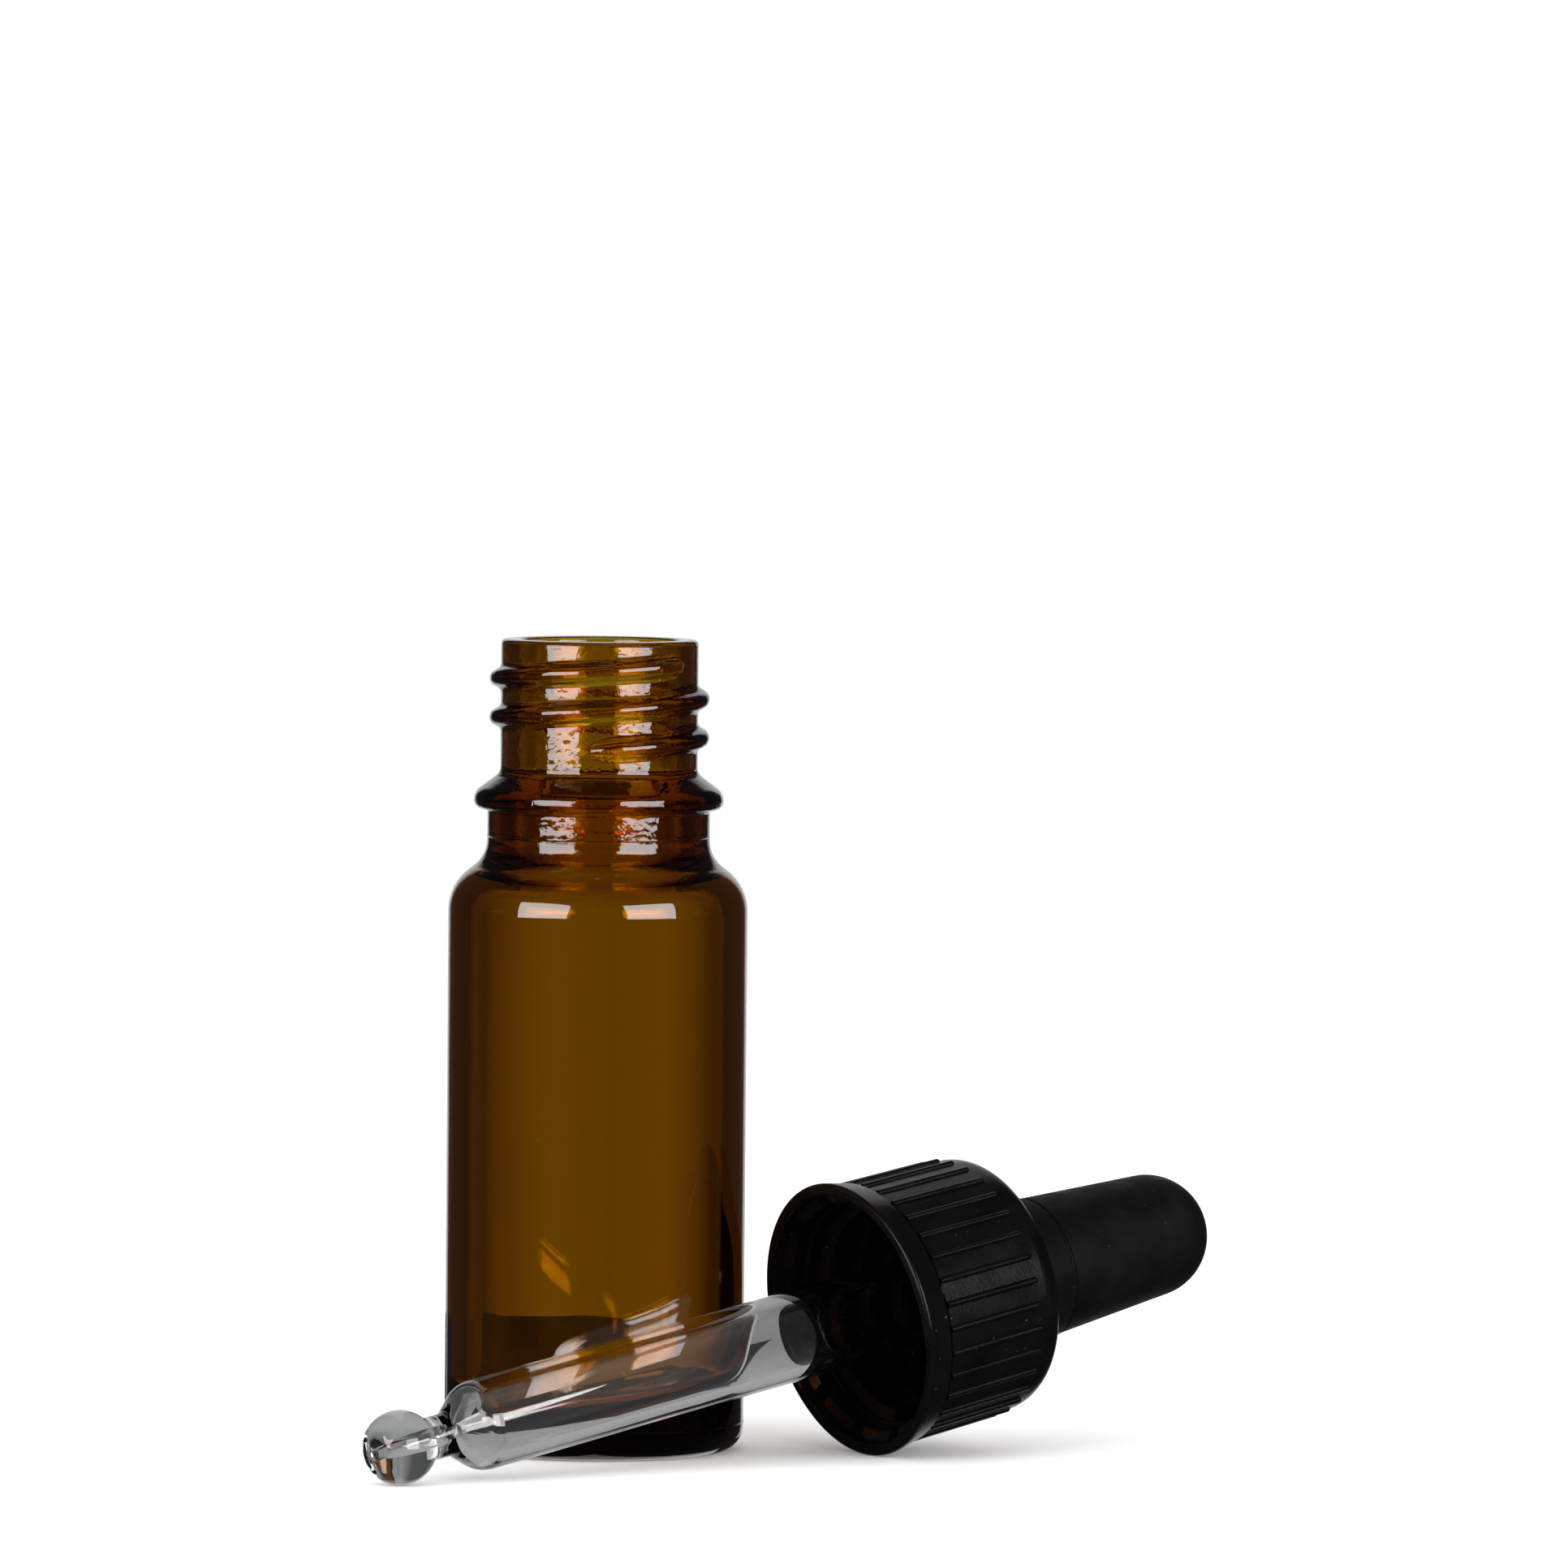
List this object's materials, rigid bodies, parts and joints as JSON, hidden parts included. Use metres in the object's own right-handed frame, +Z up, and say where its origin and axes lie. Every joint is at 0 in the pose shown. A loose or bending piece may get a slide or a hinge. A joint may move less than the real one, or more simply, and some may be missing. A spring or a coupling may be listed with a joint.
{
  "type": "dropper bottle",
  "caption": "Small amber glass bottle with a screw neck, and its open dropper: ribbed cap, rubber teat and ball-tipped glass pipette.",
  "frame": {"origin": "middle of the bottle's foot, on the surface that the bottle and the dropper lie on", "axes": "+Z up along the bottle's axis, out of its mouth; the dropper lies on the -Y side, its teat towards +X and +Y"},
  "size_m": [0.0683, 0.0503, 0.0662],
  "materials": {
    "amber_glass": "polished",
    "black_plastic": "satin",
    "black_rubber": "matte",
    "clear_glass": "polished"
  },
  "bodies": {
    "bottle": {"bottle": "amber_glass"},
    "dropper": {"glass_pipette": "clear_glass"},
    "cap": {"screw_cap": "black_plastic", "tamper_ring": "black_plastic", "break_bridges": "black_plastic"},
    "teat": {"rubber_teat": "black_rubber"}
  },
  "joints": [
    {"name": "dropper_lift", "type": "slide", "parent": "bottle", "child": "dropper", "axis": [0, 0, 1], "range_m": [0, 0.075]},
    {"name": "cap_turn", "type": "hinge", "parent": "dropper", "child": "cap", "pos_m": [0.02067, -0.00551, 0.01113], "axis": [0.8052, 0.5638, 0.184], "continuous": true},
    {"name": "teat_squeeze", "type": "slide", "parent": "dropper", "child": "teat", "axis": [0.1507, 0.1055, -0.9829], "range_m": [0, 0.003], "stiffness_N_per_m": 800, "deforming": ["rubber_teat"]}
  ]
}
